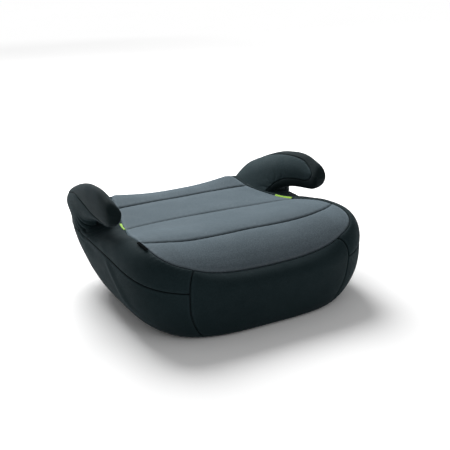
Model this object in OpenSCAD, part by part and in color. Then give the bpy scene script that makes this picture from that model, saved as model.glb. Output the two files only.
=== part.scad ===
// Backless child booster seat: moulded base, foam, sewn cover and two belt horns.
// Frame: X to the child's left and right, -Y is the front edge, +Z is up, floor at Z = 0.

/* [Overall size] */
// width across the two side walls
body_w = 452; // [400:2:480]
// front to back
body_d = 404; // [360:2:430]
// floor to the top of the belt horns
body_h = 215; // [195:1:235]

/* [Cover] */
// thickness of the padded cover cloth
cover_t = 3; // [2:0.5:5]
// half width of the top panel over the thighs
panel_w = 192; // [170:1:200]
// how much the top panel narrows toward the back
panel_taper = 0.31; // [0.1:0.01:0.4]
// space left between two sewn panels
sew_gap = 0.5; // [0.3:0.1:1]

/* [Base] */
// wall of the moulded base
shell_t = 3; // [2:0.5:5]
// top of the base deck
deck_z = 98; // [85:1:102]
// spacing of the ribs below the deck
rib_pitch = 40; // [30:1:42]
// thickness of one rib
rib_t = 2.4; // [1.6:0.2:4]
// height of the rubber feet below the base
foot_h = 4; // [3:0.5:6]
// diameter of one rubber foot
foot_d = 26; // [16:1:36]

/* [Belt horns] */
// thickness of the rigid core inside a horn
core_w = 12; // [8:1:14]
// thread diameter of the horn screws
screw_d = 5; // [4:0.5:6]

/* [View] */
// piece to show, or all

/* [Hidden] */
kx = body_w / 452;
ky = body_d / 404;
kz = body_h / 215;
mid_y = -40 * ky;
foam_in = cover_t + 0.6;
base_in = 14;
core_x = 200 * kx;
core_lean = 7; // how far the horn core's blade sits outside its screws

// wall outline at each height: [height, half width, front, back]
wall = [[0, 178, 188, 140], [12, 195, 192, 151], [28, 209, 195, 162], [50, 221, 198, 173],
    [80, 226, 201, 190], [110, 226, 202, 201], [130, 224, 202, 202]];
// squareness of the two rear corners at each height: [height, exponent]
rear_square = [[0, 3.4], [50, 3.8], [80, 5.5], [110, 8.5]];
// centre line of the seat from the front seam to the back seam: [y, height]
crown = [[-182, 98], [-172, 112], [-160, 122], [-140, 132.5], [-118, 139], [-90, 142.5],
    [-60, 142], [-20, 137.5], [27, 133], [90, 128.5], [153, 126.5], [178, 129.5], [200, 127]];
// extra height toward the sides: [y, rise at 150 mm from the centre]
rise = [[-176, 15], [-140, 11], [-96, 8], [-30, 5.5], [27, 4], [153, 5], [200, 11]];
// height of the lower side seam around the body: [angle, height]
shoulder = [[0, 84], [32, 90], [68, 104], [90, 108], [126, 110], [180, 100]];
// upper and lower edge of a horn seen from the side: [y, z]
horn_top = [[199, 112], [201, 128], [199, 146], [190, 163], [165, 178], [132, 192], [98, 203],
    [60, 211], [28, 214.5], [4, 212], [-14, 203], [-22, 187]];
horn_low = [[84, 112], [83, 123], [80, 133], [68, 141], [48, 147.5], [28, 152], [12, 155.5],
    [-4, 161], [-17, 172], [-22, 187]];
// inner and outer face of a horn from its root to its tip: [share of length, x]
horn_in = [[0, 144], [0.25, 157], [0.5, 171], [0.75, 181], [1, 187]];
horn_out = [[0, 224], [0.3, 226], [1, 222]];

function mix(a, b, t) = a + (b - a) * t;
function unit(v, e) = v / pow(pow(abs(v[0]), e) + pow(abs(v[1]), e), 1 / e);
function col(t, c) = [for (r = t) [r[0], r[c]]];
function steps(a, b, n) = [for (i = [0:n]) mix(a, b, i / n)];

// point of the wall at angle a (0 front, 90 right) and height z, moved in by d
function ring(a, z, d) =
    let (q = unit([sin(a), cos(a)], cos(a) > 0 ? 3.4 : lookup(z / kz, rear_square)),
        w = lookup(z / kz, col(wall, 1)) * kx - d,
        f = lookup(z / kz, col(wall, 2)) * ky + mid_y - d,
        b = lookup(z / kz, col(wall, 3)) * ky - mid_y - d)
    [w * q[0], mid_y - (q[1] > 0 ? f : b) * q[1]];
function seat_z(x, y) = kz * (lookup(y / ky, crown)
    + lookup(y / ky, rise) * pow(abs(x) / kx / 150, 2.2));
function ease(t) = let (c = min(1, max(0, t))) c * c * (3 - 2 * c);
// point of the seam around the top panel at angle a, moved in by d
function seam(a, d) =
    let (q = unit([sin(a), cos(a)], cos(a) > 0 ? 5.2 : 5),
        y = -60 * ky - (q[1] > 0 ? 117 * ky - d : 256 * ky - d) * q[1],
        w = panel_w * kx * (1 - panel_taper * ease((y / ky + 75) / 250)) - d)
    [w * q[0], y];
function shoulder_z(a) = kz * lookup(abs(a) > 180 ? 360 - abs(a) : abs(a), shoulder);
// cover below the shoulder: h runs 0 at the floor hem to 1 at the lower side seam
function low_pt(a, h, d) =
    let (z = mix(1.8, shoulder_z(a) - sew_gap / 2, h), p = ring(a, z, d)) [p[0], p[1], z];
// cover above the shoulder: h runs 0 at the lower side seam to 1 at the top panel
function high_pt(a, h, d) =
    let (p = ring(a, shoulder_z(a), d), q = seam(a, d > 0 ? d - sew_gap : -sew_gap),
        z = seat_z(q[0], q[1]) - max(d, 0), z0 = shoulder_z(a) + sew_gap / 2,
        s = 1 - cos(90 * h))
    [mix(p[0], q[0], s), mix(p[1], q[1], s), mix(z0, z - min(d, 0), sin(90 * h))];
function side_pt(a, h, d) = h < 1 ? low_pt(a, h, d) : high_pt(a, h - 1, d);

// point on an edge curve of a horn at share s of its length
function along(t, s) =
    let (k = min(len(t) - 2, floor(s * (len(t) - 1))), f = s * (len(t) - 1) - k,
        a = t[max(0, k - 1)], b = t[k], c = t[k + 1], e = t[min(len(t) - 1, k + 2)])
    0.5 * (2 * b + (c - a) * f + (2 * a - 5 * b + 4 * c - e) * f * f
        + (3 * b - 3 * c + e - a) * f * f * f);
// point of a horn's skin: s root to tip, g around the section (0 top, 90 outer), moved in by d
function horn_pt(s, g, d) =
    let (u = along(horn_top, s), l = along(horn_low, s), m = (u + l) / 2, r = norm(u - l) / 2,
        n = r > 0.01 ? (u - l) / (2 * r) : [0, 1],
        xi = lookup(s, horn_in), xo = lookup(s, horn_out),
        q = unit([sin(g), cos(g)], lookup(s, [[0, 3.8], [0.25, 2.6], [0.5, 2.5], [1, 3]])),
        b = (xo - xi) / 2 * (s > 0.85 ? mix(1, 0.82, (s - 0.85) / 0.15) : 1) - d,
        lean = lookup(s, [[0, 11], [0.3, 10], [0.6, 4], [1, 2]]) * q[1] * (1 - abs(q[0])),
        root = max(0, 1 - s / 0.3) * 20 * max(0, -q[0]))
    [kx * ((xi + xo) / 2 + b * q[0] + lean), ky * (m[0] + max(r - d, 0.4) * n[0] * q[1]),
        kz * (m[1] + max(r - d, 0.4) * n[1] * q[1] + root)];
// gusset strip: t runs 0 at the root over the top to 1 at the tip, then back below to 2
function gusset_pt(t, g, d) = t < 1 ? horn_pt(t, g, d) : horn_pt(2 - t, 180 - g, d);

// closed solid between two grids of the same size; wrap joins the last column to the first
module patch(o, i, wrap = false) {
    m = len(o);
    n = len(o[0]);
    k = m * n;
    e = wrap ? n - 1 : n - 2;
    function id(r, c) = r * n + c % n;
    function quad(a, b, c, d) = [[a, b, c], [a, c, d]];
    polyhedron(concat([for (r = o) each r], [for (r = i) each r]), concat(
        [for (r = [0:m - 2], c = [0:e])
            each quad(id(r, c), id(r, c + 1), id(r + 1, c + 1), id(r + 1, c))],
        [for (r = [0:m - 2], c = [0:e])
            each quad(k + id(r, c), k + id(r + 1, c), k + id(r + 1, c + 1), k + id(r, c + 1))],
        [for (c = [0:e]) each quad(k + id(0, c), k + id(0, c + 1), id(0, c + 1), id(0, c))],
        [for (c = [0:e])
            each quad(id(m - 1, c), id(m - 1, c + 1), k + id(m - 1, c + 1), k + id(m - 1, c))],
        wrap ? [] : [for (r = [0:m - 2])
            each quad(id(r, 0), id(r + 1, 0), k + id(r + 1, 0), k + id(r, 0))],
        wrap ? [] : [for (r = [0:m - 2]) each
            quad(k + id(r, n - 1), k + id(r + 1, n - 1), id(r + 1, n - 1), id(r, n - 1))]),
        convexity = 8);
}

// round pad between a lower and an upper surface: edge is the outline, rings nested inside it
module pad(edge, rings, hi, lo) {
    n = len(edge);
    c = [0, mid_y / 2];
    function at(f, k, j) = c + (edge[j] - c) * k / rings;
    tops = concat([[c[0], c[1], hi(c[0], c[1])]], [for (k = [1:rings], j = [0:n - 1])
        let (p = at(edge, k, j)) [p[0], p[1], hi(p[0], p[1])]]);
    lows = [for (p = tops) [p[0], p[1], lo(p[0], p[1])]];
    s = len(tops);
    function id(k, j) = k == 0 ? 0 : 1 + (k - 1) * n + j % n;
    up = [for (k = [0:rings - 1], j = [0:n - 1]) each
        k == 0 ? [[0, id(1, j + 1), id(1, j)]]
        : [[id(k, j), id(k, j + 1), id(k + 1, j + 1)], [id(k, j), id(k + 1, j + 1), id(k + 1, j)]]];
    rim = [for (j = [0:n - 1]) each let (a = id(rings, j), b = id(rings, j + 1))
        [[a, b, s + b], [a, s + b, s + a]]];
    polyhedron(concat(tops, lows),
        concat(up, [for (f = up) [s + f[2], s + f[1], s + f[0]]], rim), convexity = 4);
}

// ---- moulded base ----
function base_at(a, d) = ring(a, 0, base_in + d);
function base_line(d, z = 0, inset = base_in) = [for (a = [0:5:355]) ring(a, z, inset + d)];
// half width of the base wall at y, and its front and back limit at x
function base_half(y) =
    let (r = abs(base_at(y < mid_y ? 0 : 180, 0)[1] - mid_y))
    base_at(90, 0)[0] * pow(max(0, 1 - pow(abs(y - mid_y) / r, 3.4)), 1 / 3.4);
function base_reach(x, a) =
    mid_y + (base_at(a, 0)[1] - mid_y)
        * pow(max(0, 1 - pow(abs(x) / base_at(90, 0)[0], 3.4)), 1 / 3.4);
feet = [for (x = [-3, 3], y = [-2, 2]) [x * rib_pitch, mid_y + (y + 0.5) * rib_pitch]];
screws = [for (s = [-1, 1], y = [128, 148]) [s * core_x, y * ky]];

module base_shell() color("#2b2d30") difference() {
    union() {
        translate([0, 0, deck_z - shell_t]) linear_extrude(shell_t)
            polygon(base_line(0, deck_z, 16));
        translate([0, 0, foot_h]) linear_extrude(deck_z - foot_h - 0.5) difference() {
            polygon(base_line(0));
            polygon(base_line(shell_t));
        }
        for (k = [-3:3]) {
            x = k * rib_pitch;
            y0 = base_reach(x, 0) + shell_t / 2;
            translate([x - rib_t / 2, y0, 12])
                cube([rib_t, base_reach(x, 180) - shell_t / 2 - y0, deck_z - 13]);
        }
        for (k = [-3:4]) {
            y = mid_y + (k - 0.5) * rib_pitch;
            x = base_half(y) - shell_t / 2;
            translate([-x, y - rib_t / 2, 12]) cube([2 * x, rib_t, deck_z - 13]);
        }
        for (p = feet) translate([p[0], p[1], foot_h]) cylinder(d = 16, h = 40, $fn = 48);
        for (p = screws) translate([p[0], p[1], deck_z - 3 - 4]) cylinder(d = 18, h = 6, $fn = 48);
    }
    for (p = feet) translate([p[0], p[1], foot_h - 1]) cylinder(d = 6.6, h = 16, $fn = 48);
    for (p = screws) translate([p[0], p[1], 80]) cylinder(d = screw_d + 0.8, h = 30, $fn = 48);
}
module rubber_feet() color("#1c1c1d") for (p = feet) translate([p[0], p[1], 0]) {
    cylinder(d = foot_d, h = foot_h - 0.2, $fn = 64);
    cylinder(d = 6, h = foot_h + 12, $fn = 48);
}

// ---- belt horns ----
core_line = concat(
    [for (s = steps(0.16, 0.64, 14)) let (u = along(horn_top, s), l = along(horn_low, s))
        mix(u, l, 0.27)],
    [for (s = steps(0.64, 0.16, 14)) let (u = along(horn_top, s), l = along(horn_low, s))
        mix(u, l, 0.73)]);
module horn_core() color("#3a3c40") difference() {
    union() {
        translate([core_x + core_lean - core_w / 2, 0, 0]) rotate([90, 0, 90])
            linear_extrude(core_w)
            polygon([for (p = core_line) [p[0] * ky, p[1] * kz]]);
        translate([core_x - core_w / 2, 118 * ky, deck_z + 0.3])
            cube([core_w, 40 * ky, 42 * kz]);
    }
    for (p = screws) if (p[0] > 0)
        translate([p[0], p[1], deck_z]) cylinder(d = screw_d - 0.6, h = 22, $fn = 48);
}
module left_horn_core() mirror([1, 0, 0]) horn_core();
module right_horn_core() horn_core();
module horn_screws() color("#9a9da1") for (p = screws) translate([p[0], p[1], 0]) {
    translate([0, 0, deck_z - 7.2 - 3]) cylinder(d = 9.5, h = 3, $fn = 48);
    translate([0, 0, deck_z - 8]) cylinder(d = screw_d - 0.8, h = 26, $fn = 48);
}

// ---- foam ----
module seat_foam() color("#d9d4c4") pad([for (a = [0:10:350]) seam(a, 3)], 6,
    function(x, y) seat_z(x, y) - foam_in, function(x, y) deck_z + 0.5);
module thigh_foam() color("#d9d4c4") patch(
    [for (a = steps(41, 111, 14)) [for (h = steps(0, 0.9, 6)) high_pt(a, h, foam_in)]],
    [for (a = steps(41, 111, 14)) let (q = seam(a, -0.5), t = high_pt(a, 0.9, foam_in)[2])
        [for (h = steps(0, 1, 6)) [q[0], q[1], mix(deck_z + 0.5, t - 2, h)]]]);
module left_thigh_foam() mirror([1, 0, 0]) thigh_foam();
module right_thigh_foam() thigh_foam();
module wall_foam(a0, a1, n) color("#d9d4c4") patch(
    [for (a = steps(a0, a1, n)) [for (z = steps(5, 84, 5)) let (p = ring(a, z, foam_in))
        [p[0], p[1], z]]],
    [for (a = steps(a0, a1, n)) [for (z = steps(5, 84, 5)) let (p = base_at(a, -3.6))
        [p[0], p[1], z]]]);
module left_side_foam() mirror([1, 0, 0]) wall_foam(39, 141, 20);
module right_side_foam() wall_foam(39, 141, 20);
module front_foam() wall_foam(-38, 38, 16);
module back_foam() wall_foam(142, 218, 16);
module horn_foam() color("#d9d4c4") patch(
    [for (s = steps(0, 0.95, 16)) [for (g = [0:18:342]) horn_pt(s, g, foam_in)]],
    [for (s = steps(0, 0.95, 16)) [for (g = [0:18:342]) horn_pt(s, g, foam_in + 5)]], true);
module left_horn_foam() mirror([1, 0, 0]) horn_foam();
module right_horn_foam() horn_foam();

// ---- cover ----
module seat_panel() color("#6e787d") pad([for (a = [0:7.5:352.5]) seam(a, sew_gap / 2)], 6,
    function(x, y) seat_z(x, y), function(x, y) seat_z(x, y) - cover_t);
module front_panel() color("#1b2023") patch(
    [for (a = steps(-36.8, 36.8, 22)) [for (h = steps(0, 2, 14)) side_pt(a, h, 0)]],
    [for (a = steps(-36.8, 36.8, 22)) [for (h = steps(0, 2, 14)) side_pt(a, h, cover_t)]]);
module back_panel() color("#1b2023") {
    patch([for (a = steps(143.2, 216.8, 18)) [for (h = steps(0, 1, 6)) low_pt(a, h, 0)]],
        [for (a = steps(143.2, 216.8, 18)) [for (h = steps(0, 1, 6)) low_pt(a, h, cover_t)]]);
    patch([for (a = steps(144, 216, 16)) [for (h = steps(0, 1, 6)) high_pt(a, h, 0)]],
        [for (a = steps(144, 216, 16)) [for (h = steps(0, 1, 6)) high_pt(a, h, cover_t)]]);
}
module side_band() color("#23292d") patch(
    [for (a = steps(37.2, 113, 18)) [for (h = steps(0, 1, 7)) high_pt(a, h, 0)]],
    [for (a = steps(37.2, 113, 18)) [for (h = steps(0, 1, 7)) high_pt(a, h, cover_t)]]);
module left_side_band() mirror([1, 0, 0]) side_band();
module right_side_band() side_band();
module side_panel() color("#1f2528") patch(
    [for (a = steps(37.2, 142.8, 24)) [for (h = steps(0, 1, 8)) low_pt(a, h, 0)]],
    [for (a = steps(37.2, 142.8, 24)) [for (h = steps(0, 1, 8)) low_pt(a, h, cover_t)]]);
module left_side_panel() mirror([1, 0, 0]) side_panel();
module right_side_panel() side_panel();
module horn_face(g0, g1) patch(
    [for (s = steps(0, 0.95, 18)) [for (g = steps(g0, g1, 5)) horn_pt(s, g, 0)]],
    [for (s = steps(0, 0.95, 18)) [for (g = steps(g0, g1, 5)) horn_pt(s, g, cover_t)]]);
module left_horn_outer_panel() color("#1f2528") mirror([1, 0, 0]) horn_face(52, 128);
module right_horn_outer_panel() color("#1f2528") horn_face(52, 128);
module left_horn_inner_panel() color("#2a3236") mirror([1, 0, 0]) horn_face(232, 308);
module right_horn_inner_panel() color("#2a3236") horn_face(232, 308);
module horn_gusset() color("#14181a") patch(
    [for (t = steps(0, 2, 36)) [for (g = steps(-50.5, 50.5, 6)) gusset_pt(t, g, 0)]],
    [for (t = steps(0, 2, 36)) [for (g = steps(-50.5, 50.5, 6)) gusset_pt(t, g, cover_t)]]);
module left_horn_gusset() mirror([1, 0, 0]) horn_gusset();
module right_horn_gusset() horn_gusset();

// ---- trim ----
module tag(a0, a1, h0, h1) patch(
    [for (a = steps(a0, a1, 3)) [for (h = steps(h0, h1, 3)) high_pt(a, h, -1.6)]],
    [for (a = steps(a0, a1, 3)) [for (h = steps(h0, h1, 3)) high_pt(a, h, -0.4)]]);
module left_belt_marker() color("#a8d42a") mirror([1, 0, 0]) tag(101, 107, 0.72, 0.98);
module right_belt_marker() color("#a8d42a") tag(101, 107, 0.72, 0.98);
module seam_label() color("#0f1112") mirror([1, 0, 0]) tag(69, 73, 0.6, 0.98);
module hem_strip(d0, d1, z0, z1) patch(
    [for (a = steps(181, 539, 60)) [for (d = [d0, d1]) let (q = ring(a, 0, d)) [q[0], q[1], z0]]],
    [for (a = steps(181, 539, 60)) [for (d = [d0, d1]) let (q = ring(a, 0, d)) [q[0], q[1], z1]]]);
module hem_facing() color("#14181a") hem_strip(cover_t + 0.8, 24, 1.2, 2.4);
module hem_elastic() color("#0f1112") hem_strip(21.8, 23.8, 2.6, 6.5);
// spring clip over the bottom edge of the base wall, drawn for a wall running along X
clip_line = [[-3.2, -1.3], [shell_t + 3.2, -1.3], [shell_t + 3.2, 14], [shell_t + 1.8, 14],
    [shell_t + 1.8, -0.3], [-1.8, -0.3], [-1.8, 14], [-3.2, 14]];
module clip_at(p, turn) translate([p[0], p[1], foot_h]) rotate([0, 0, turn])
    translate([-12, 0, 0]) rotate([90, 0, 90]) linear_extrude(24) polygon(clip_line);
module cover_clips() color("#2b2d30") {
    for (x = [-60, 60]) clip_at([x * kx, base_at(0, 0)[1] + 0.9], 0);
    for (x = [-60, 60]) clip_at([x * kx, base_at(180, 0)[1]], 180);
    for (s = [-1, 1]) clip_at([s * base_at(90, 0)[0], mid_y + 6], s * 90);
}

base_shell();
rubber_feet();
left_horn_core();
right_horn_core();
horn_screws();
seat_foam();
left_thigh_foam();
right_thigh_foam();
left_side_foam();
right_side_foam();
front_foam();
back_foam();
left_horn_foam();
right_horn_foam();
seat_panel();
front_panel();
back_panel();
left_side_band();
right_side_band();
left_side_panel();
right_side_panel();
left_horn_outer_panel();
right_horn_outer_panel();
left_horn_inner_panel();
right_horn_inner_panel();
left_horn_gusset();
right_horn_gusset();
left_belt_marker();
right_belt_marker();
seam_label();
hem_facing();
hem_elastic();
cover_clips();
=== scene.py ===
import math

import bmesh
import bpy
import numpy as np
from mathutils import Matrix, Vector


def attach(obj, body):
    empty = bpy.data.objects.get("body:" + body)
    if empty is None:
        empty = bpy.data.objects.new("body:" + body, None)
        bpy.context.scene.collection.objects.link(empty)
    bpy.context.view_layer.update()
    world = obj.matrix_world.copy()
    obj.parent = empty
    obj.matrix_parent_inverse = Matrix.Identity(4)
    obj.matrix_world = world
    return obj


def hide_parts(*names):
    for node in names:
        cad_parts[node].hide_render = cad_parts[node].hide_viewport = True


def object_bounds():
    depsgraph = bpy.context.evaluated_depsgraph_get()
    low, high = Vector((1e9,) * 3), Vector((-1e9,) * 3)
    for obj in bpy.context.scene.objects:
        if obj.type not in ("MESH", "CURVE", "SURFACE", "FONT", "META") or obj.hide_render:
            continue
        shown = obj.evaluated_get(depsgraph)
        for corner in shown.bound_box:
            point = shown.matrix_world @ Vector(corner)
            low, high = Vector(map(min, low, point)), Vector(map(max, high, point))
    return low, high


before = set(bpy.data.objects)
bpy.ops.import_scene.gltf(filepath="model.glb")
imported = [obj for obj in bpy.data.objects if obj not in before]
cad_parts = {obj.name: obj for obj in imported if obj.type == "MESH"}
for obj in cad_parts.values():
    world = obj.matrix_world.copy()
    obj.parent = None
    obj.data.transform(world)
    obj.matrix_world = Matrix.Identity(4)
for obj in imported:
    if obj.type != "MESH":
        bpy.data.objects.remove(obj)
cad_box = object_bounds()

# ---------------------------------------------------------------------------
# Driving sizes, in millimetres as in the CAD part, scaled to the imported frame
# ---------------------------------------------------------------------------
BODY_W, BODY_D, BODY_H = 452.0, 402.1, 214.5
KX = (cad_box[1].x - cad_box[0].x) / BODY_W
KY = (cad_box[1].y - cad_box[0].y) / BODY_D
KZ = cad_box[1].z / BODY_H
SCALE = np.array([KX, KY, KZ])

MID_Y = -40.0          # where the wall outline is widest
CLOTH = 3.0            # thickness of the foam-backed cloth
ROLL = 3.6             # radius of a panel's edge where it turns into a seam
SEAM_DEPTH = 3.0       # depth of a sewn seam
CORNER = 37.0          # angle of the seams between front and side panels
REAR = 143.0           # angle of the seams between side and back panels
YOKE = 124.0           # angle at which the rear yoke starts
BAND_END = 128.0       # angle at which the side bands run in under the horns

# outline of the top panel: its middle, its reach to the front and rear, and how square each end is
SEAM_MID, SEAM_FRONT, SEAM_REAR = -60.0, 117.0, 256.5
SEAM_FRONT_SQUARE, SEAM_REAR_SQUARE = 5.2, 13.0
TOP_MID = -20.0        # where the grid of the top panel has its centre

# wall outline at each height: half width, reach to the front, reach to the rear
WALL = [(0, 178, 188, 140), (12, 195, 192, 151), (28, 209, 195, 162), (50, 221, 198, 173),
        (80, 226, 201, 190), (110, 226, 202, 201), (130, 224, 202, 202)]
FRONT_SQUARE = 3.4
REAR_SQUARE = [(0, 3.4), (50, 3.8), (80, 5.5), (110, 8.5)]
# half width of the top panel along y
PANEL = [(-200, 192), (-75, 192), (-30, 187.5), (0, 179.5), (23, 172), (47, 166.5), (72, 159),
         (100, 150), (130, 142.5), (160, 139), (200, 138)]
# height of the seat along y at its middle, and how much its sides stand above that
CROWN = [(-182, 98), (-172, 112), (-160, 122), (-140, 132.5), (-118, 139), (-90, 142.5),
         (-60, 142), (-20, 137.5), (27, 133), (90, 130), (148, 130.5), (172, 132),
         (187, 131), (200, 124.5)]
RISE = [(-176, 15), (-140, 11), (-96, 8), (-30, 4.5), (10, 1.5), (50, -1.5), (90, 0), (130, 3),
        (160, 7.5), (200, 18)]
# height of the seam between the lower panels and the bands, by angle from the front
SHOULDER = [(0, 84), (32, 90), (68, 104), (90, 108), (126, 110), (180, 100)]
# upper and lower edge of a horn as (y, z) from root to tip, then its inner and outer x by share
HORN_TOP = [(199, 112), (201, 128), (199, 146), (190, 163), (165, 178), (132, 192), (98, 203),
            (60, 210), (30, 211), (7, 206), (-14, 198.5), (-24, 181)]
HORN_LOW = [(84, 112), (83, 123), (80, 133), (68, 141), (48, 147.5), (28, 150), (12, 151.5),
            (-5, 155), (-19, 164), (-24, 181)]
HORN_IN = [(0, 144), (0.25, 160), (0.5, 183), (0.75, 195), (1, 195)]
HORN_OUT = [(0, 224), (0.3, 226), (1, 222)]
HORN_SQUARE = [(0, 3.8), (0.25, 2.6), (0.5, 2.4), (1, 2.6)]
HORN_INNER_SQUARE = [(0, 3.2), (0.4, 1.9), (1, 1.35)]   # rounder on the inner side of the top
# sewn seams of a horn: (share of its length, angle around it)
OUTER_END, INNER_END = 0.86, 0.865     # share at which the outer and the inner panel end
OUTER_SEAM = [(0, 30), (0.2, 32), (0.28, 36), (0.35, 46), (0.42, 60), (0.46, 78), (0.51, 98),
              (0.54, 112), (0.6, 125), (0.68, 136), (0.78, 147), (0.86, 156)]
OUTER_LOW = [(0, 150), (0.3, 158), (0.86, 166)]
INNER_SEAM = [(0, 354), (0.2, 352), (0.475, 341), (0.64, 331), (0.74, 324), (0.80, 312),
              (0.84, 300), (0.865, 280)]
INNER_LOW = [(0, 200), (0.1, 210), (0.2, 218), (0.28, 221), (0.38, 233), (0.48, 242), (0.6, 245),
             (0.76, 248), (0.83, 260), (0.865, 278)]
HORN_ROLL, HORN_DEPTH, HORN_PUFF, HORN_REACH = 2.6, 2.2, 1.5, 9
HORN_LEAN = [(0, 11), (0.3, 10), (0.6, 4), (1, 2)]
# sewn channels across the seat: y at the centre, then terms in q, q^2 and q^4, q = x / 150
CHANNELS = [(144.0, 0.0, -7.5, 0.0), (31.5, -6.0, -6.2, 0.0), (-96.2, 0.0, -23.6, 19.9)]


# ---------------------------------------------------------------------------
# Curves and surfaces
# ---------------------------------------------------------------------------
def mix(a, b, t):
    return a + (b - a) * t


def clip(t):
    return np.clip(t, 0.0, 1.0)


def ease(t):
    t = clip(t)
    return t * t * (3 - 2 * t)


def smooth(table, x, column=1):
    """Value of a table at x on a smooth curve through its points."""
    t = np.array(table, float)
    xs, ys = t[:, 0], t[:, column]
    x = np.clip(np.asarray(x, float), xs[0], xs[-1])
    slope = np.gradient(ys, xs)
    k = np.clip(np.searchsorted(xs, x) - 1, 0, len(xs) - 2)
    h = xs[k + 1] - xs[k]
    f = (x - xs[k]) / h
    return ((2 * f ** 3 - 3 * f ** 2 + 1) * ys[k] + (f ** 3 - 2 * f ** 2 + f) * h * slope[k]
            + (3 * f ** 2 - 2 * f ** 3) * ys[k + 1] + (f ** 3 - f ** 2) * h * slope[k + 1])


def unit(s, c, e):
    """Point on a superellipse of exponent e in the direction (s, c)."""
    n = (np.abs(s) ** e + np.abs(c) ** e) ** (1 / e)
    return s / n, c / n


def rad(a):
    return np.radians(a)


def ring(a, z):
    """Outline of the wall at angle a (0 front, 90 right) and height z."""
    s, c = np.sin(rad(a)), np.cos(rad(a))
    q0, q1 = unit(s, c, np.where(c > 0, FRONT_SQUARE, smooth(REAR_SQUARE, z)))
    reach = np.where(q1 > 0, smooth(WALL, z, 2) + MID_Y, smooth(WALL, z, 3) - MID_Y)
    return smooth(WALL, z, 1) * q0, MID_Y - reach * q1


def panel_half(y):
    return smooth(PANEL, y)


def seat_z(x, y):
    q = np.abs(x) / 150
    spread = np.where(q < 1, q ** 2.2, 1 + 0.7 * (q - 1))
    return smooth(CROWN, y) + smooth(RISE, y) * spread


def seam_square(ahead):
    return np.where(ahead > 0, SEAM_FRONT_SQUARE, SEAM_REAR_SQUARE)


def seam_edge(q0, q1):
    """Point of the top panel's outline from a point of its superellipse."""
    y = SEAM_MID - np.where(q1 > 0, SEAM_FRONT, SEAM_REAR) * q1
    return panel_half(y) * q0, y


def seam(a):
    """Seam around the top panel at angle a."""
    s, c = np.sin(rad(a)), np.cos(rad(a))
    return seam_edge(*unit(s, c, seam_square(c)))


def shoulder_z(a):
    a = np.abs(np.asarray(a, float))
    return smooth(SHOULDER, np.where(a > 180, 360 - a, a))


def wall_pt(a, h):
    """Cover of the body: h runs 0 at the hem, 1 at the lower side seam, 2 at the top panel."""
    z0 = shoulder_z(a)
    z_low = mix(1.8, z0, clip(h))
    xr, yr = ring(a, z_low)
    xs, ys = seam(a)
    turn = clip(h - 1) * math.pi / 2
    s = 1 - np.cos(turn)
    z = np.where(h < 1, z_low, mix(z0, seat_z(xs, ys), np.sin(turn)))
    return np.stack([mix(xr, xs, s), mix(yr, ys, s), z], -1)


def along(table, s):
    """Point at share s of a smooth curve through the table's points."""
    t = np.array(table, float)
    x = np.clip(s, 0, 1) * (len(t) - 1)
    k = np.clip(np.floor(x).astype(int), 0, len(t) - 2)
    f = (x - k)[..., None]
    a, b = t[np.maximum(0, k - 1)], t[k]
    c, e = t[k + 1], t[np.minimum(len(t) - 1, k + 2)]
    return 0.5 * (2 * b + (c - a) * f + (2 * a - 5 * b + 4 * c - e) * f ** 2
                  + (3 * b - 3 * c + e - a) * f ** 3)


def horn_pt(s, g):
    """Skin of the right horn: s root to tip, g around it (0 top, 90 outer, 270 inner)."""
    u, l = along(HORN_TOP, s), along(HORN_LOW, s)
    m, r = (u + l) / 2, np.linalg.norm(u - l, axis=-1) / 2
    n = np.where(r[..., None] > 0.01, (u - l) / np.maximum(2 * r, 0.02)[..., None], [0.0, 1.0])
    xi, xo = smooth(HORN_IN, s), smooth(HORN_OUT, s)
    sn, cs = np.sin(rad(g)), np.cos(rad(g))
    square = np.where((sn < 0) & (cs > 0), smooth(HORN_INNER_SQUARE, s), smooth(HORN_SQUARE, s))
    q0, q1 = unit(sn, cs, square)
    b = (xo - xi) / 2 * (1 - 0.42 * clip((s - 0.8) / 0.2) ** 3)
    lean = smooth(HORN_LEAN, s) * q1 * (1 - np.abs(q0))
    x = (xi + xo) / 2 + b * q0 + lean
    r = np.maximum(r, 0.4)
    y = m[..., 0] + r * n[..., 0] * q1
    z = m[..., 1] + r * n[..., 1] * q1
    # the inner face leans out from the seam of the top panel
    inner = clip(-q0 * 1.4)
    rise_share = clip((z - 122) / 62)
    pull = inner * ease((y - 58) / 34) * (1 - rise_share) ** 1.2
    x = mix(x, panel_half(y) + 30 * rise_share, pull)
    # the root stays inside the wall's outline, so the side and rear run on flush
    e = 8.5
    out = ((np.abs(x) / 226.0) ** e + (np.abs(y - MID_Y) / 241.0) ** e) ** (1 / e)
    out = 1 + (np.maximum(out, 1.0) - 1) * (1 - ease((z - 118) / 34))
    return np.stack([x / out, MID_Y + (y - MID_Y) / out, z], -1)


def between(low, high):
    """Part of a horn's skin between two seams: u runs along it, v from one seam to the other."""
    def surface(u, v):
        return horn_pt(u, mix(smooth(low, u), smooth(high, u), v))
    return surface


def top_pt(u, v):
    """Top panel from a square of u, v in -1 to 1; v = 1 is the front."""
    r = np.maximum(np.maximum(np.abs(u), np.abs(v)), 1e-3)
    xb, yb = seam_edge(*unit(u / r, v / r, seam_square(v) / np.maximum(r, 0.12) ** 2))
    x, y = xb * r, mix(TOP_MID, yb, r)
    return np.stack([x, y, seat_z(x, y)], -1)


def channel_y(c, x):
    q = x / 150
    return c[0] + c[1] * q + c[2] * q ** 2 + c[3] * q ** 4


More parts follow.
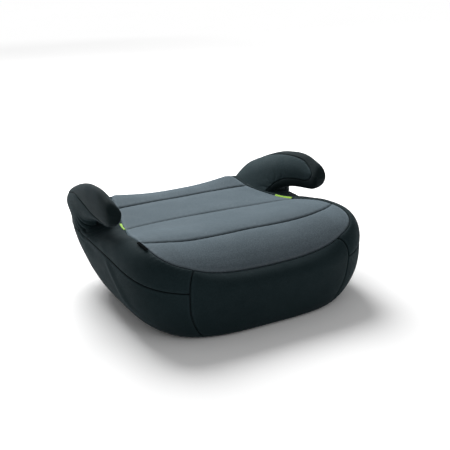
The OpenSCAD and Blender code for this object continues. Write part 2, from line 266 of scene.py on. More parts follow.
# ---------------------------------------------------------------------------
# Relief: seams, puckers, folds and slow unevenness
# ---------------------------------------------------------------------------
def ripple(p, wave, seed):
    """Smooth repeatable unevenness from -1 to 1 with features about `wave` mm across."""
    rng = np.random.default_rng(seed)
    total = np.zeros(p.shape[:-1])
    for _ in range(9):
        k = rng.normal(size=3)
        k *= 2 * math.pi / wave / np.linalg.norm(k) * rng.uniform(0.6, 1.5)
        total += np.sin(p @ k + rng.uniform(0, 2 * math.pi))
    return total / 9 * 1.6


def grid_normals(p):
    du, dv = np.gradient(p, axis=0), np.gradient(p, axis=1)
    n = np.cross(du, dv)
    size = np.linalg.norm(n, axis=-1, keepdims=True)
    return n / np.maximum(size, 1e-9)


def run_lengths(p, axis):
    step = np.linalg.norm(np.diff(p, axis=axis), axis=-1)
    zero = np.zeros_like(np.take(step, [0], axis))
    return np.concatenate([zero, np.cumsum(step, axis)], axis)


def seam_distance(p, edges):
    """Distance from the sewn edges of a grid: u and U are its first and last rows, v and V columns."""
    lu, lv = run_lengths(p, 0), run_lengths(p, 1)
    d = np.full(p.shape[:-1], 1e3)
    if "u" in edges:
        d = np.minimum(d, lu)
    if "U" in edges:
        d = np.minimum(d, lu[-1:] - lu)
    if "v" in edges:
        d = np.minimum(d, lv)
    if "V" in edges:
        d = np.minimum(d, lv[:, -1:] - lv)
    return d


def edge_profile(d, depth=SEAM_DEPTH, roll=ROLL, puff=1.6, reach=16):
    """Height of padded cloth at distance d from a seam."""
    t = clip(d / roll)
    sunk = -depth * (1 - np.sqrt(np.maximum(0, 1 - (1 - t) ** 2)))
    return sunk + puff * (1 - np.exp(-d / reach)) * t


def pucker(d, run, seed, size=0.28, wave=11.0):
    """Small gathers that the stitching pulls into the cloth beside a seam."""
    rng = np.random.default_rng(seed)
    a, b = rng.uniform(0, 6.28, 2)
    wobble = np.sin(run / 37.0 + a) + 0.7 * np.sin(run / 83.0 + b)
    return size * np.sin(2 * math.pi * run / wave + 1.9 * wobble) * np.exp(-d / 7.0) * clip(d / 2.5)


def crease(phase, power=5):
    """Narrow valleys, one for each turn of phase, with soft cloth standing up between them."""
    return 0.45 * np.cos(phase + math.pi) - 1.3 * np.maximum(0, np.cos(phase)) ** power


def horn_folds(p, side):
    """Curved folds where the cloth gathers around the crotch under each horn."""
    x, y, z = np.abs(p[..., 0]), p[..., 1], p[..., 2]
    away = np.hypot(y - 92, z - 152)
    angle = np.degrees(np.arctan2(z - 152, y - 92))
    window = np.exp(-((angle + 80 - 6 * side) / 46) ** 2) * ease((x - 186) / 22)
    phase = 2 * math.pi * away / 8.6 + 0.8 * np.sin(angle / 17.0 + side) + 0.6 * np.sin(away / 9.0)
    fade = ease((away - 13) / 8) * (1 - ease((away - 42) / 14))
    return (1.7 if side < 0 else 0.9) * crease(phase) * fade * window


def inner_gathers(p, side):
    """Short folds that run up the inner side of a horn from its crotch."""
    y, z = p[..., 1], p[..., 2]
    away = np.hypot(y - 74, z - 136)
    angle = np.arctan2(z - 136, y - 74)
    phase = 11 * angle + 0.7 * np.sin(away / 6.0 + side)
    fade = ease((away - 6) / 7) * (1 - ease((away - 20) / 22))
    return 0.55 * crease(phase, 4) * fade


# ---------------------------------------------------------------------------
# Mesh making
# ---------------------------------------------------------------------------
def spread(n, bias=0.75):
    """n + 1 shares from 0 to 1, closer together near the ends."""
    t = np.linspace(0, 1, n + 1)
    return t - bias * np.sin(2 * math.pi * t) / (2 * math.pi)


def grid_faces(nu, nv, start=0, flip=False):
    i = np.arange(nu - 1)[:, None] * nv + np.arange(nv - 1)[None, :] + start
    quads = np.stack([i, i + 1, i + nv + 1, i + nv], -1).reshape(-1, 4)
    return quads[:, ::-1] if flip else quads


def make_object(name, points, faces, material, uv=None, painted_light=None):
    """Blender mesh from points in mm of the part and a list of faces."""
    mesh = bpy.data.meshes.new(name)
    mesh.from_pydata((np.asarray(points) * SCALE).tolist(), [], [list(map(int, f)) for f in faces])
    if uv is not None:
        layer = mesh.uv_layers.new(name="cloth")
        loops = np.empty(len(mesh.loops), int)
        mesh.loops.foreach_get("vertex_index", loops)
        layer.data.foreach_set("uv", np.asarray(uv, float)[loops].ravel())
    if painted_light is None:
        painted_light = np.zeros(len(points))
    # per-point painted light: above 0 paints a highlight into the colour, below 0 paints shade
    tone = mesh.attributes.new("painted_light", "FLOAT", "POINT")
    tone.data.foreach_set("value", np.asarray(painted_light).ravel())
    mesh.polygons.foreach_set("use_smooth", [True] * len(mesh.polygons))
    mesh.materials.append(material)
    mesh.validate()
    mesh.update()
    if len(faces) > 1:
        tidy = bmesh.new()
        tidy.from_mesh(mesh)
        bmesh.ops.recalc_face_normals(tidy, faces=tidy.faces)
        tidy.to_mesh(mesh)
        tidy.free()
    obj = bpy.data.objects.new(name, mesh)
    bpy.context.scene.collection.objects.link(obj)
    return obj


def shell(name, outer, normal, material, uv, painted_light, thick=CLOTH, side=1):
    """Closed padded panel: an outer grid, an inner grid and the rim between them."""
    nu, nv = outer.shape[:2]
    inner = outer - normal * thick
    points = np.concatenate([outer.reshape(-1, 3), inner.reshape(-1, 3)])
    k = nu * nv
    faces = [*grid_faces(nu, nv, 0, False), *grid_faces(nu, nv, k, True)]
    idx = np.arange(k).reshape(nu, nv)
    loop = np.concatenate([idx[:, 0], idx[-1, 1:], idx[-2::-1, -1], idx[0, -2:0:-1]])
    nxt = np.roll(loop, -1)
    faces += [[a, b, b + k, a + k] for a, b in zip(loop, nxt)]
    faces = np.array(faces)
    if side < 0:
        points = points * np.array([-1.0, 1.0, 1.0])
        faces = faces[:, ::-1]
    uv2 = np.concatenate([uv.reshape(-1, 2), uv.reshape(-1, 2)])
    painted_light_both = np.concatenate([painted_light.ravel(), np.zeros(k)])
    return make_object(name, points, faces, material, uv2, painted_light_both)


BODY_CENTRE = np.array([0, 0, 60.0])
HORN_CENTRE = np.array([196.0, 60.0, 170.0])


def cloth_panel(name, surface, us, vs, material, edges="uUvV", side=1, seed=1, extra=None,
                outward=BODY_CENTRE, puff=1.6, reach=16, depth=SEAM_DEPTH, roll=ROLL, shade=None):
    """A sewn panel over surface(u, v): rolled edges, puckers beside the seams, slow unevenness.

    edges names its sewn edges, outward is a point inside it, extra adds relief and shade darkens it."""
    uu, vv = np.meshgrid(us, vs, indexing="ij")
    p = surface(uu, vv)
    n = grid_normals(p)
    sign = 1.0 if np.sum(n * (p - outward)) > 0 else -1.0
    n = n * sign
    d = seam_distance(p, edges)
    lu, lv = run_lengths(p, 0), run_lengths(p, 1)
    lift = edge_profile(d, depth, roll, puff, reach)
    lift += pucker(d, lu + lv, seed)
    lift += 0.35 * ripple(p * [side, 1, 1], 70, seed + 20) * ease(d / 15)
    if extra is not None:
        lift += extra(p, d, uu, vv)
    moved = p + n * lift[..., None]
    n2 = grid_normals(moved) * sign
    n2 = np.where(np.linalg.norm(n2, axis=-1, keepdims=True) > 0.5, n2, n)
    # painted highlight on the crest of each rolled edge, painted shade in the groove of each seam
    painted_light = np.exp(-((d - ROLL * 0.9) / 2.0) ** 2) - 1.6 * np.exp(-(d / 1.3) ** 2)
    if shade is not None:
        painted_light = painted_light - shade(uu, vv)
    uv = np.stack([lu, lv], -1)
    if sign < 0:
        moved, n2, uv, painted_light = moved[:, ::-1], n2[:, ::-1], uv[:, ::-1], painted_light[:, ::-1]
    return shell(name, moved, n2, material, uv, painted_light, side=side)


# ---------------------------------------------------------------------------
# Materials
# ---------------------------------------------------------------------------
class Nodes:
    """Small helper that adds and joins shader nodes."""

    def __init__(self, name):
        self.material = bpy.data.materials.new(name)
        self.material.use_nodes = True
        self.tree = self.material.node_tree
        self.tree.nodes.clear()
        self.out = self.add("ShaderNodeOutputMaterial")
        self.shader = self.add("ShaderNodeBsdfPrincipled")
        self.join(self.shader, 0, self.out, 0)

    def add(self, kind, **values):
        node = self.tree.nodes.new(kind)
        for key, value in values.items():
            setattr(node, key, value)
        return node

    def join(self, a, i, b, j):
        self.tree.links.new(a.outputs[i], b.inputs[j])

    def math(self, op, a, b=None, clamp=False):
        node = self.add("ShaderNodeMath", operation=op, use_clamp=clamp)
        for k, v in enumerate((a, b)):
            if v is None:
                continue
            if isinstance(v, tuple):
                self.join(v[0], v[1], node, k)
            else:
                node.inputs[k].default_value = v
        return (node, 0)

    def noise(self, scale, detail=2.0, rough=0.5, vector=None):
        node = self.add("ShaderNodeTexNoise")
        node.inputs["Scale"].default_value = scale
        node.inputs["Detail"].default_value = detail
        node.inputs["Roughness"].default_value = rough
        if vector is None:
            vector = (self.object_coords(), 0)
        self.join(vector[0], vector[1], node, 0)
        return (node, 0)

    def object_coords(self):
        coords = self.add("ShaderNodeTexCoord")
        pick = self.add("ShaderNodeVectorMath", operation="ADD")
        self.join(coords, 3, pick, 0)
        return pick

    def range(self, value, a, b, c, d):
        node = self.add("ShaderNodeMapRange")
        self.join(value[0], value[1], node, 0)
        for k, v in enumerate((a, b, c, d)):
            node.inputs[k + 1].default_value = v
        return (node, 0)

    def mix(self, fac, a, b):
        node = self.add("ShaderNodeMix", data_type="RGBA")
        self.join(fac[0], fac[1], node, 0)
        for k, v in ((6, a), (7, b)):
            if isinstance(v[0], float):
                node.inputs[k].default_value = (*v, 1)
            else:
                self.join(v[0], v[1], node, k)
        return (node, 2)

    def bump(self, height, distance, strength):
        node = self.add("ShaderNodeBump")
        node.inputs["Distance"].default_value = distance
        node.inputs["Strength"].default_value = strength
        self.join(height[0], height[1], node, "Height")
        self.join(node, 0, self.shader, "Normal")

    def colour(self, value):
        self.join(value[0], value[1], self.shader, "Base Color")


def cloth_material(name, dark, light, pitch=0.9, knit=False, sheen=0.35, tint=(0.62, 0.86, 1.0),
                   heather=0.5, rough=0.88, strength=0.35, gloss=0.12):
    """Woven or knitted cloth: threads follow the panel's own cut, which its UV map holds in mm.

    The painted light attribute paints a highlight into the cloth where it is above 0 and paints shade
    into it where it is below."""
    m = Nodes(name)
    uv = m.add("ShaderNodeUVMap", uv_map="cloth")
    split = m.add("ShaderNodeSeparateXYZ")
    m.join(uv, 0, split, 0)
    u, v = (split, 0), (split, 1)
    turn = math.pi / pitch
    if knit:
        lean = m.math("ABSOLUTE", m.math("SINE", m.math("MULTIPLY", v, turn * 0.7)))
        loops = m.math("ADD", m.math("MULTIPLY", u, turn), m.math("MULTIPLY", lean, 1.6))
        stand = m.math("ADD", m.math("MULTIPLY", lean, 0.4), 0.6)
        height = m.math("MULTIPLY", m.math("ABSOLUTE", m.math("SINE", loops)), stand)
    else:
        warp = m.math("SINE", m.math("MULTIPLY", u, turn))
        weft = m.math("SINE", m.math("MULTIPLY", v, turn))
        over = m.math("GREATER_THAN", m.math("MULTIPLY", warp, weft), 0.0)
        a, b = m.math("ABSOLUTE", warp), m.math("ABSOLUTE", weft)
        height = m.math("ADD", m.math("MULTIPLY", a, over),
                        m.math("MULTIPLY", b, m.math("SUBTRACT", 1.0, over)))
    fibre = m.noise(1400, 3, 0.6)
    height = m.math("ADD", m.math("MULTIPLY", height, 0.8), m.math("MULTIPLY", fibre, 0.5))
    m.bump(height, 0.00035, strength)
    flecks = m.range(m.noise(620, 2, 0.6), 0.42, 0.62, 0.0, 1.0)
    broad = m.range(m.noise(9, 3, 0.55), 0.3, 0.7, 0.0, 1.0)
    painted_light_node = m.add("ShaderNodeAttribute", attribute_name="painted_light")
    fac = m.math("ADD", m.math("MULTIPLY", flecks, heather), m.math("MULTIPLY", broad, 0.22))
    # painted shade at thread scale: the raised threads are coloured lighter than the gaps between them
    fac = m.math("ADD", fac, m.math("MULTIPLY", height, 0.18))
    # painted highlight: the cloth is mixed towards its light colour where the attribute is above 0
    fac = m.math("ADD", fac, m.math("MULTIPLY", (painted_light_node, 2), 0.3), clamp=True)
    # painted shade: the cloth is mixed towards a quarter of its dark colour where the attribute is
    # below 0
    sunk = m.math("MULTIPLY", (painted_light_node, 2), -0.75, clamp=True)
    m.colour(m.mix(sunk, m.mix(fac, dark, light), tuple(0.25 * c for c in dark)))
    r = m.range(m.noise(40, 2), 0.3, 0.7, rough - 0.05, rough + 0.05)
    m.join(r[0], r[1], m.shader, "Roughness")
    m.shader.inputs["Sheen Weight"].default_value = sheen
    m.shader.inputs["Sheen Roughness"].default_value = 0.42
    m.shader.inputs["Sheen Tint"].default_value = (*tint, 1)
    m.shader.inputs["Specular IOR Level"].default_value = gloss
    m.shader.inputs["Specular Tint"].default_value = (0.7, 0.92, 1.0, 1)
    return m.material


def moulded_material(name, dark, light, grain=900, rough=0.5, strength=0.15, metal=0.0):
    """Moulded plastic, rubber or plated steel with a fine grain and handling marks."""
    m = Nodes(name)
    speck = m.noise(grain, 3, 0.6)
    m.bump(speck, 0.0002, strength)
    marks = m.range(m.noise(14, 4, 0.6), 0.35, 0.7, 0.0, 1.0)
    scratches = m.range(m.noise(160, 5, 0.7), 0.55, 0.75, 0.0, 0.4)
    m.colour(m.mix(m.math("ADD", m.math("MULTIPLY", marks, 0.6), scratches, clamp=True), dark, light))
    r = m.range(m.noise(30, 3), 0.3, 0.7, rough - 0.08, rough + 0.1)
    m.join(r[0], r[1], m.shader, "Roughness")
    m.shader.inputs["Metallic"].default_value = metal
    return m.material


SEAT_CLOTH = cloth_material("seat_knit", (0.040, 0.053, 0.062), (0.090, 0.110, 0.125), 1.3, True,
                            sheen=0.34, heather=0.55, rough=0.86)
SIDE_CLOTH = cloth_material("side_weave", (0.0034, 0.0082, 0.0095), (0.0105, 0.0190, 0.0215), 0.8,
                            sheen=0.045, heather=0.4, rough=0.82)
INNER_CLOTH = cloth_material("horn_inner_weave", (0.0090, 0.0175, 0.0198), (0.027, 0.041, 0.046), 0.8,
                             sheen=0.08, heather=0.4, rough=0.82)
BLACK_CLOTH = cloth_material("gusset_weave", (0.0022, 0.0050, 0.0056), (0.0080, 0.0130, 0.0140), 0.8,
                             sheen=0.06, heather=0.4, rough=0.80)
LIME = cloth_material("lime_ribbon_weave", (0.22, 0.42, 0.02), (0.45, 0.72, 0.06), 0.6,
                      sheen=0.3, heather=0.3, rough=0.6)
LABEL = cloth_material("label_satin", (0.0010, 0.0014, 0.0016), (0.009, 0.011, 0.012), 0.4,
                       sheen=0.0, heather=0.0, rough=0.9, gloss=0.01)
THREAD_DARK = cloth_material("thread_dark", (0.010, 0.014, 0.015), (0.026, 0.033, 0.035), 0.35,
                             sheen=0.2, heather=0.3, rough=0.6)
PLASTIC = moulded_material("base_polypropylene", (0.012, 0.013, 0.014), (0.030, 0.032, 0.035))
CLIP = moulded_material("clip_nylon", (0.010, 0.010, 0.011), (0.024, 0.024, 0.026), rough=0.4)
RUBBER = moulded_material("foot_rubber_grain", (0.010, 0.010, 0.010), (0.022, 0.022, 0.022),
                          rough=0.8, grain=500, strength=0.3)
CORE = moulded_material("core_polypropylene", (0.02, 0.021, 0.023), (0.04, 0.042, 0.046))
STEEL = moulded_material("zinc_plate", (0.42, 0.43, 0.45), (0.6, 0.61, 0.63), rough=0.35, metal=1.0)

node_material = {"base_shell": PLASTIC, "rubber_feet": RUBBER, "cover_clips": CLIP,
                 "left_horn_core": CORE, "right_horn_core": CORE, "horn_screws": STEEL}
for node_name, material in node_material.items():
    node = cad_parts[node_name]
    node.data.materials.clear()
    node.data.materials.append(material)


# ---------------------------------------------------------------------------
# Cover pieces
# ---------------------------------------------------------------------------
def place(obj, slot, *nodes, padding=0.7):
    """Puts a piece on the body and hides the CAD nodes it stands for; slot and padding are not used."""
    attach(obj, "root")
    if nodes:
        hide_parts(*nodes)
    return obj


def channel_relief(p):
    """Sewn channels across the top panel, with the cloth between them softly crowned."""
    x, y = p[..., 0], p[..., 1]
    lines = [channel_y(c, x) for c in CHANNELS]
    depth = np.zeros_like(x)
    for k, line in enumerate(lines):
        away = np.abs(y - line) * 0.98
        depth -= 4.0 * np.exp(-(away / 2.5) ** 1.3) + 1.6 * np.exp(-(away / 15.0) ** 2)
        gather = np.sin(x * 2 * math.pi / 12.5 + 2 * np.sin(x / 31.0 + k) + k)
        depth += 0.22 * gather * np.exp(-away / 9.0) * clip(away / 2.0)
    return depth


def outline_distance(p, count=720):
    """Distance from each point of a grid to the seam around the top panel."""
    a = np.linspace(0, 360, count, endpoint=False)
    x, y = seam(a)
    return near_line(p, np.stack([x, y, seat_z(x, y)], -1))


def make_top_panel(across=151, deep=261):
    """The grey seat panel with its three sewn channels."""
    uu, vv = np.meshgrid(2 * spread(across, 0.55) - 1, 2 * spread(deep, 0.35) - 1, indexing="ij")
    p = top_pt(uu, vv)
    normal = grid_normals(p)
    normal *= np.sign(normal[across // 2, deep // 2, 2])
    d = outline_distance(p)
    r = np.maximum(np.abs(uu), np.abs(vv))
    d = np.where(r > 0.9999, 0, d)
    angle = np.abs(np.arctan2(p[..., 0], -p[..., 1] - 20))
    lift = edge_profile(d, 3.0, 4.0, 2.4, 22)
    lift += pucker(d, angle * 190, 3, 0.22, 10.0)
    lift += channel_relief(p) * ease(d / 5)
    lift += 0.5 * ripple(p, 85, 8) * ease(d / 20)
    moved = p + normal * lift[..., None]
    n2 = grid_normals(moved)
    n2 *= np.sign(n2[across // 2, deep // 2, 2])
    away = np.min([np.abs(p[..., 1] - channel_y(c, p[..., 0])) for c in CHANNELS], 0)
    # painted highlight on the crest of the seam's roll and beside each channel, painted shade in the
    # seam and channel grooves
    painted_light = np.exp(-((d - 3.6) / 2.0) ** 2) - 1.5 * np.exp(-(d / 1.3) ** 2)
    painted_light += 0.5 * np.exp(-((away - 4) / 2.2) ** 2) - 1.4 * np.exp(-(away / 2.1) ** 2) * clip(d / 3)
    uv = p[..., :2]
    return shell("top_panel", moved, n2, SEAT_CLOTH, uv, painted_light, side=1)


def seam_line(table, end, n=160):
    s = np.linspace(0, end, n)
    return horn_pt(s, smooth(table, s))


def near_line(p, line):
    """Distance from each point of a grid to a seam given as a run of points."""
    flat = p.reshape(-1, 3)
    best = np.full(len(flat), 1e9)
    for k in range(0, len(line), 40):
        gap = np.linalg.norm(flat[:, None] - line[None, k:k + 40], axis=-1)
        best = np.minimum(best, gap.min(1))
    return best.reshape(p.shape[:-1])


def make_horn_skin(name, side, ns=190, ng=150):
    """The black gusset: one closed skin round the horn, sunk where the two panels cover it."""
    s = 1 - (1 - np.linspace(0, 1, ns + 1)) ** 1.35
    g = np.linspace(0, 360, ng, endpoint=False)
    ss, gg = np.meshgrid(s, g, indexing="ij")
    p = horn_pt(ss, gg)
    wrapped = np.concatenate([p[:, -1:], p, p[:, :1]], 1)
    n = grid_normals(wrapped)[:, 1:-1]
    middle = p.mean(1, keepdims=True)
    n *= np.sign(np.sum(n * (p - middle), -1, keepdims=True).mean(1, keepdims=True))
    n[-3:] = n[-4]
    lines = [seam_line(OUTER_SEAM, OUTER_END), seam_line(OUTER_LOW, OUTER_END),
             seam_line(INNER_SEAM, INNER_END), seam_line(INNER_LOW, INNER_END)]
    d = np.min([near_line(p, line) for line in lines], 0)
    hidden = ((ss < OUTER_END) & (gg > smooth(OUTER_SEAM, ss)) & (gg < smooth(OUTER_LOW, ss))
              | (ss < INNER_END) & (gg < smooth(INNER_SEAM, ss)) & (gg > smooth(INNER_LOW, ss)))
    lift = edge_profile(d, 2.2, 2.6, 1.0, 9) + pucker(d, ss * 300 + gg, 40 + side, 0.22)
    lift += 0.3 * ripple(p * [side, 1, 1], 60, 44) + horn_folds(p, side) * 0.8 * ease(d / 4)
    lift = np.where(hidden, -2.4 - 3.4 * clip(d / 1.2), lift)
    moved = p + n * lift[..., None]
    moved[-1] = moved[-1].mean(0)
    inner = p - n * (CLOTH + 3.0)
    inner[-1] = inner[-2].mean(0)
    m, k = ns + 1, ng
    i = (np.arange(ns)[:, None] * k + np.arange(k)[None, :]).ravel()
    j = (np.arange(ns)[:, None] * k + (np.arange(k)[None, :] + 1) % k).ravel()
    outer_faces = np.stack([i, j, j + k, i + k], -1)
    inner_faces = outer_faces[:, ::-1] + m * k
    a, b = np.arange(k), (np.arange(k) + 1) % k
    rim = np.stack([a, a + m * k, b + m * k, b], -1)
    faces = np.concatenate([outer_faces, inner_faces, rim])
    points = np.concatenate([moved.reshape(-1, 3), inner.reshape(-1, 3)])
    if side < 0:
        points = points * np.array([-1.0, 1.0, 1.0])
        faces = faces[:, ::-1]
    uv = np.stack([ss * 330, gg * 0.42], -1).reshape(-1, 2)
    # painted highlight beside each seam and painted shade in its groove
    painted_light = (np.exp(-((d - 2.6) / 2) ** 2) - 1.6 * np.exp(-(d / 1.3) ** 2)).ravel()
    return make_object(name, points, faces, BLACK_CLOTH, np.concatenate([uv, uv]),
                       np.concatenate([painted_light, np.zeros(m * k)]))


place(make_top_panel(), "seat_cloth", "seat_panel", "seat_foam", "left_thigh_foam",
      "right_thigh_foam", padding=0.8)

front = cloth_panel("front_cover", wall_pt, mix(-CORNER, CORNER, spread(150)),
                    2 * spread(76, 0.5), SIDE_CLOTH, seed=4, puff=1.8, reach=22)
place(front, "side_cloth", "front_panel", "front_foam")

back_low = cloth_panel("back_cover", wall_pt, mix(REAR, 360 - REAR, spread(120)),
                       spread(48), SIDE_CLOTH, seed=5)
place(back_low, "side_cloth", "back_panel", "back_foam")
def tuck(p, d, u, v):
    # the yoke lies a little below the rear edge of the seat
    return -2.2 * ease((v - 1.3) / 0.5)


back_top = cloth_panel("back_yoke", wall_pt, mix(YOKE, 360 - YOKE, spread(150)),
                       1 + spread(26), SIDE_CLOTH, edges="vV", seed=6, puff=0.0, extra=tuck)
place(back_top, "side_cloth")

horn_sewing = {"edges": "UvV", "outward": HORN_CENTRE, "puff": HORN_PUFF, "reach": HORN_REACH,
               "roll": HORN_ROLL, "depth": HORN_DEPTH}
SIDES = ((1, "right"), (-1, "left"))

for side, label in SIDES:
    def folds(p, d, u, v, side=side):
        return horn_folds(p, side) * ease(d / 4)

    def gathers(p, d, u, v, side=side):
        return inner_gathers(p, side) * ease(d / 4)

    def wall_relief(p, d, u, v, side=side):
        # the cloth draws in where the horn is sewn on, and stands out as a soft ridge in front of it
        dip = -2.2 * np.exp(-((p[..., 1] - 52) / 26) ** 2) * ease((p[..., 2] - 80) / 25)
        fold_y = -15 - 1.4 * (108 - p[..., 2])
        ridge = 2.4 * np.exp(-((p[..., 1] - fold_y) / 13) ** 2)
        ridge *= ease((p[..., 2] - 25) / 35) * (1 - ease((p[..., 2] - 106) / 20))
        return (dip + ridge) * ease(d / 12) + horn_folds(p, side) * ease(d / 4)

    cover = cloth_panel(label + "_side_cover", wall_pt, mix(CORNER, REAR, spread(260)),
                        spread(76), SIDE_CLOTH, side=side, seed=11 + side, extra=wall_relief)
    place(cover, "side_cloth", label + "_side_panel", label + "_side_foam")
    band = cloth_panel(label + "_band_cover", wall_pt, mix(CORNER, BAND_END, spread(190, 0.6)),
                       1 + spread(48), SIDE_CLOTH, edges="uvV", side=side, seed=14 + side,
                       extra=wall_relief)
    place(band, "side_cloth", label + "_side_band")
    outer = cloth_panel(label + "_horn_outer_cover", between(OUTER_SEAM, OUTER_LOW),
                        OUTER_END * spread(230, 0.4), spread(64), SIDE_CLOTH, side=side,
                        seed=21 + side, extra=folds, **horn_sewing)
    place(outer, "side_cloth", label + "_horn_outer_panel", label + "_horn_foam")
    def root_shade(u, v):
        # painted shade: the cloth of the inner side is painted darker where it runs in under the yoke
        return 0.8 * (1 - ease((u - 0.02) / 0.16))

    inner = cloth_panel(label + "_horn_inner_cover", between(INNER_SEAM, INNER_LOW),
                        INNER_END * spread(200, 0.4), spread(64), INNER_CLOTH, side=side,
                        seed=25 + side, extra=gathers, shade=root_shade, **horn_sewing)
    place(inner, "side_cloth", label + "_horn_inner_panel")
    place(make_horn_skin(label + "_horn_gusset_cover", side), "black_cloth",
          label + "_horn_gusset")


# ---------------------------------------------------------------------------
# Trim: ribbons, label, hem and stitching
# ---------------------------------------------------------------------------
def ribbon(name, material, side, a0, a1, h0, h1, lift=1.6, thick=0.9, base=1.2):
    """Folded ribbon sewn into the seam of the top panel: its fold lies outward, raised a little."""
    us, vs = spread(40, 0.6), spread(24, 0.6)
    uu, vv = np.meshgrid(us, vs, indexing="ij")
    p = wall_pt(mix(a0, a1, uu), mix(h0, h1, vv))
    n = grid_normals(p)
    n *= np.sign(np.sum(n * (p - [0, 0, 60.0])))
    fold = np.sqrt(np.maximum(0.0, 1 - (1 - clip(vv / 0.12)) ** 2))
    height = base + lift * fold * (0.75 + 0.25 * np.cos(vv * 3)) - 1.6 * ease((vv - 0.75) / 0.25)
    height += 0.25 * np.sin(uu * 5 + side) * (1 - vv)
    outer = p + n * height[..., None]
    uv = np.stack([run_lengths(p, 0), run_lengths(p, 1)], -1)
    # painted highlight along the fold at the ribbon's lower edge and along a line near its sewn upper
    # edge
    painted_light = np.exp(-(vv / 0.1) ** 2) + 2.0 * np.exp(-((vv - 0.92) / 0.08) ** 2)
    return shell(name, outer, n, material, uv, painted_light, thick=thick, side=side)


def hem_ring(name, material, inset0, inset1, z0, z1, thick, wave, count=720, across=14):
    """Ring under the edge of the cover, gathered by the elastic."""
    a = np.linspace(0, 360, count, endpoint=False)
    vv, aa = np.meshgrid(np.linspace(0, 1, across), a, indexing="ij")
    x0, y0 = ring(aa, np.full_like(aa, 0.5))
    out = np.stack([x0, y0 - MID_Y], -1)
    size = np.linalg.norm(out, axis=-1, keepdims=True)
    flat = out * (1 - mix(inset0, inset1, vv)[..., None] / size)
    z = mix(z0, z1, vv) + wave * vv * np.sin(aa * 1.4 + 2 * np.sin(aa / 17.0)) * 0.5
    p = np.stack([flat[..., 0], flat[..., 1] + MID_Y, z], -1)
    lower = p - np.array([0, 0, thick])
    m, k = across, count
    i = (np.arange(m - 1)[:, None] * k + np.arange(k)[None, :]).ravel()
    j = (np.arange(m - 1)[:, None] * k + (np.arange(k)[None, :] + 1) % k).ravel()
    up = np.stack([i, j, j + k, i + k], -1)
    e0, e1 = np.arange(k), (np.arange(k) + 1) % k
    last = (m - 1) * k
    rim = [np.stack([e0, e0 + m * k, e1 + m * k, e1], -1),
           np.stack([e0 + last, e1 + last, e1 + last + m * k, e0 + last + m * k], -1)]
    faces = np.concatenate([up, up[:, ::-1] + m * k, *rim])
    uv = np.stack([aa * 3.6, vv * (inset1 - inset0)], -1).reshape(-1, 2)
    points = np.concatenate([p.reshape(-1, 3), lower.reshape(-1, 3)])
    return make_object(name, points, faces, material, np.concatenate([uv, uv]))


def stitch_run(path, up, pitch=4.6, length=3.5, radius=0.36, sides=6, rings=5):
    """Thread stitches along a path: short tubes with tapered ends that dip into the cloth."""
    run = np.concatenate([[0], np.cumsum(np.linalg.norm(np.diff(path, axis=0), axis=1))])
    points, faces = [], []
    for start in np.arange(2.0, run[-1] - length - 2.0, pitch):
        t = np.linspace(0, 1, rings)
        at = np.stack([np.interp(start + t * length, run, path[:, k]) for k in range(3)], -1)
        rise = np.stack([np.interp(start + t * length, run, up[:, k]) for k in range(3)], -1)
        ahead = at[-1] - at[0]
        ahead /= np.linalg.norm(ahead)
        across = np.cross(ahead, rise)
        across /= np.linalg.norm(across, axis=1, keepdims=True)
        at = at + rise * (0.45 * np.sin(t * math.pi) - 0.15)[:, None]
        wide = radius * (0.45 + 0.55 * np.sin(t * math.pi) ** 0.5)
        base = len(points)
        for k in range(rings):
            for c in range(sides):
                w = 2 * math.pi * c / sides
                points.append(at[k] + wide[k] * (across[k] * math.cos(w) + rise[k] * math.sin(w)))
        for k in range(rings - 1):
            for c in range(sides):
                d = (c + 1) % sides
                faces.append([base + k * sides + c, base + k * sides + d,
                              base + (k + 1) * sides + d, base + (k + 1) * sides + c])
        faces.append([base + c for c in range(sides)][::-1])
        faces.append([base + (rings - 1) * sides + c for c in range(sides)])
    return points, faces


def channel_stitching():
    points, faces = [], []
    for c, half in zip(CHANNELS, (132, 160, 184)):
        x = np.linspace(-half, half, 260)
        y = channel_y(c, x)
        p = np.stack([x, y, seat_z(x, y)], -1)
        up = np.tile([0.0, 0.0, 1.0], (len(x), 1))
        more, quads = stitch_run(p - up * 4.1, up)
        faces += [[i + len(points) for i in q] for q in quads]
        points += more
    uv = np.zeros((len(points), 2))
    return make_object("channel_stitching", np.array(points), faces, THREAD_DARK, uv)


for side, label in SIDES:
    tab = ribbon(label + "_belt_tab", LIME, side, 107.5, 115.5, 1.955, 2.0, lift=0.6,
                 base=0.3 if side > 0 else 0.7)
    place(tab, "lime_ribbon", label + "_belt_marker", padding=None)
tag = ribbon("side_label", LABEL, -1, 63.0, 75.5, 1.87, 1.985, lift=0.9, base=2.9)
place(tag, "label_ribbon", "seam_label", padding=None)
hem = hem_ring("hem_binding", BLACK_CLOTH, 3.0, 24.0, 2.4, 3.2, 1.2, 1.2)
place(hem, "black_cloth", "hem_facing", padding=None)
elastic = hem_ring("hem_elastic_band", LABEL, 21.0, 23.6, 3.9, 6.4, 1.4, 0.8, across=4)
place(elastic, "elastic", "hem_elastic", padding=None)
place(channel_stitching(), "seat_cloth", padding=None)


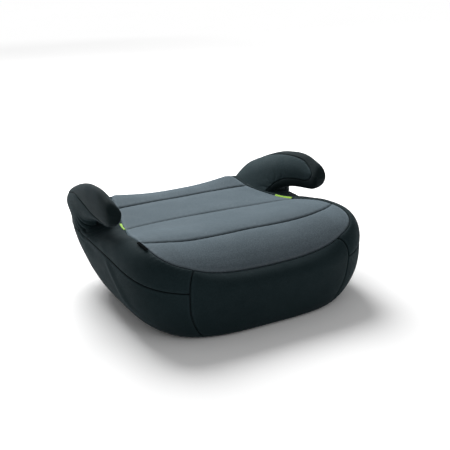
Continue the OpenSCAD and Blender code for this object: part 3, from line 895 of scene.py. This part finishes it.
# ---------------------------------------------------------------------------
# Camera, floor and light
# ---------------------------------------------------------------------------
def set_camera():
    data = bpy.data.cameras.new("camera")
    camera = bpy.data.objects.new("camera", data)
    bpy.context.scene.collection.objects.link(camera)
    camera.location = (-0.7047, -1.2643, 0.6671)
    camera.rotation_euler = (math.radians(69.21), 0, math.radians(-29.62))
    data.lens, data.sensor_width = 68, 36
    bpy.context.scene.camera = camera


def add_area(name, place_at, target, size, power, colour=(1, 1, 1)):
    data = bpy.data.lights.new(name, "AREA")
    data.shape, data.size, data.energy, data.color = "DISK", size, power, colour
    lamp = bpy.data.objects.new(name, data)
    bpy.context.scene.collection.objects.link(lamp)
    lamp.location = place_at
    direction = np.array(target) - np.array(place_at)
    yaw = math.atan2(direction[0], -direction[1])
    tilt = math.atan2(math.hypot(direction[0], direction[1]), -direction[2])
    lamp.rotation_euler = (tilt, 0, yaw + math.pi)
    return lamp


def set_studio():
    floor_mat = Nodes("studio_paper")
    tone = floor_mat.range(floor_mat.noise(3, 2), 0.3, 0.7, 0.0, 1.0)
    floor_mat.colour(floor_mat.mix(tone, (0.93, 0.93, 0.93), (0.95, 0.95, 0.95)))
    floor_mat.shader.inputs["Roughness"].default_value = 0.9
    # away from the object the paper is lit a little more, so that it stays white to the horizon
    away = floor_mat.add("ShaderNodeVectorMath", operation="LENGTH")
    floor_mat.join(floor_mat.object_coords(), 0, away, 0)
    glow = floor_mat.range((away, 1), 1.0, 3.2, 0.0, 0.62)
    floor_mat.join(glow[0], glow[1], floor_mat.shader, "Emission Strength")
    floor_mat.shader.inputs["Emission Color"].default_value = (1, 1, 1, 1)
    half = 40.0
    floor = make_object("studio_floor", np.array([(-half, -half, 0), (half, -half, 0), (half, half, 0),
                                                  (-half, half, 0)]) / SCALE, [[0, 1, 2, 3]],
                        floor_mat.material)
    floor.location.z = -0.0005
    world = bpy.data.worlds.new("studio")
    bpy.context.scene.world = world
    world.use_nodes = True
    sky = world.node_tree.nodes["Background"]
    sky.inputs[0].default_value = (1, 1, 1, 1)
    sky.inputs[1].default_value = 0.40
    add_area("top_softbox", (0.1, 1.35, 1.5), (0, 0, 0.1), 1.5, 67)
    add_area("front_fill", (0.2, -1.8, 1.1), (0, 0, 0.1), 1.2, 4.0)
    bpy.context.scene.view_settings.view_transform = "Standard"


set_camera()
set_studio()
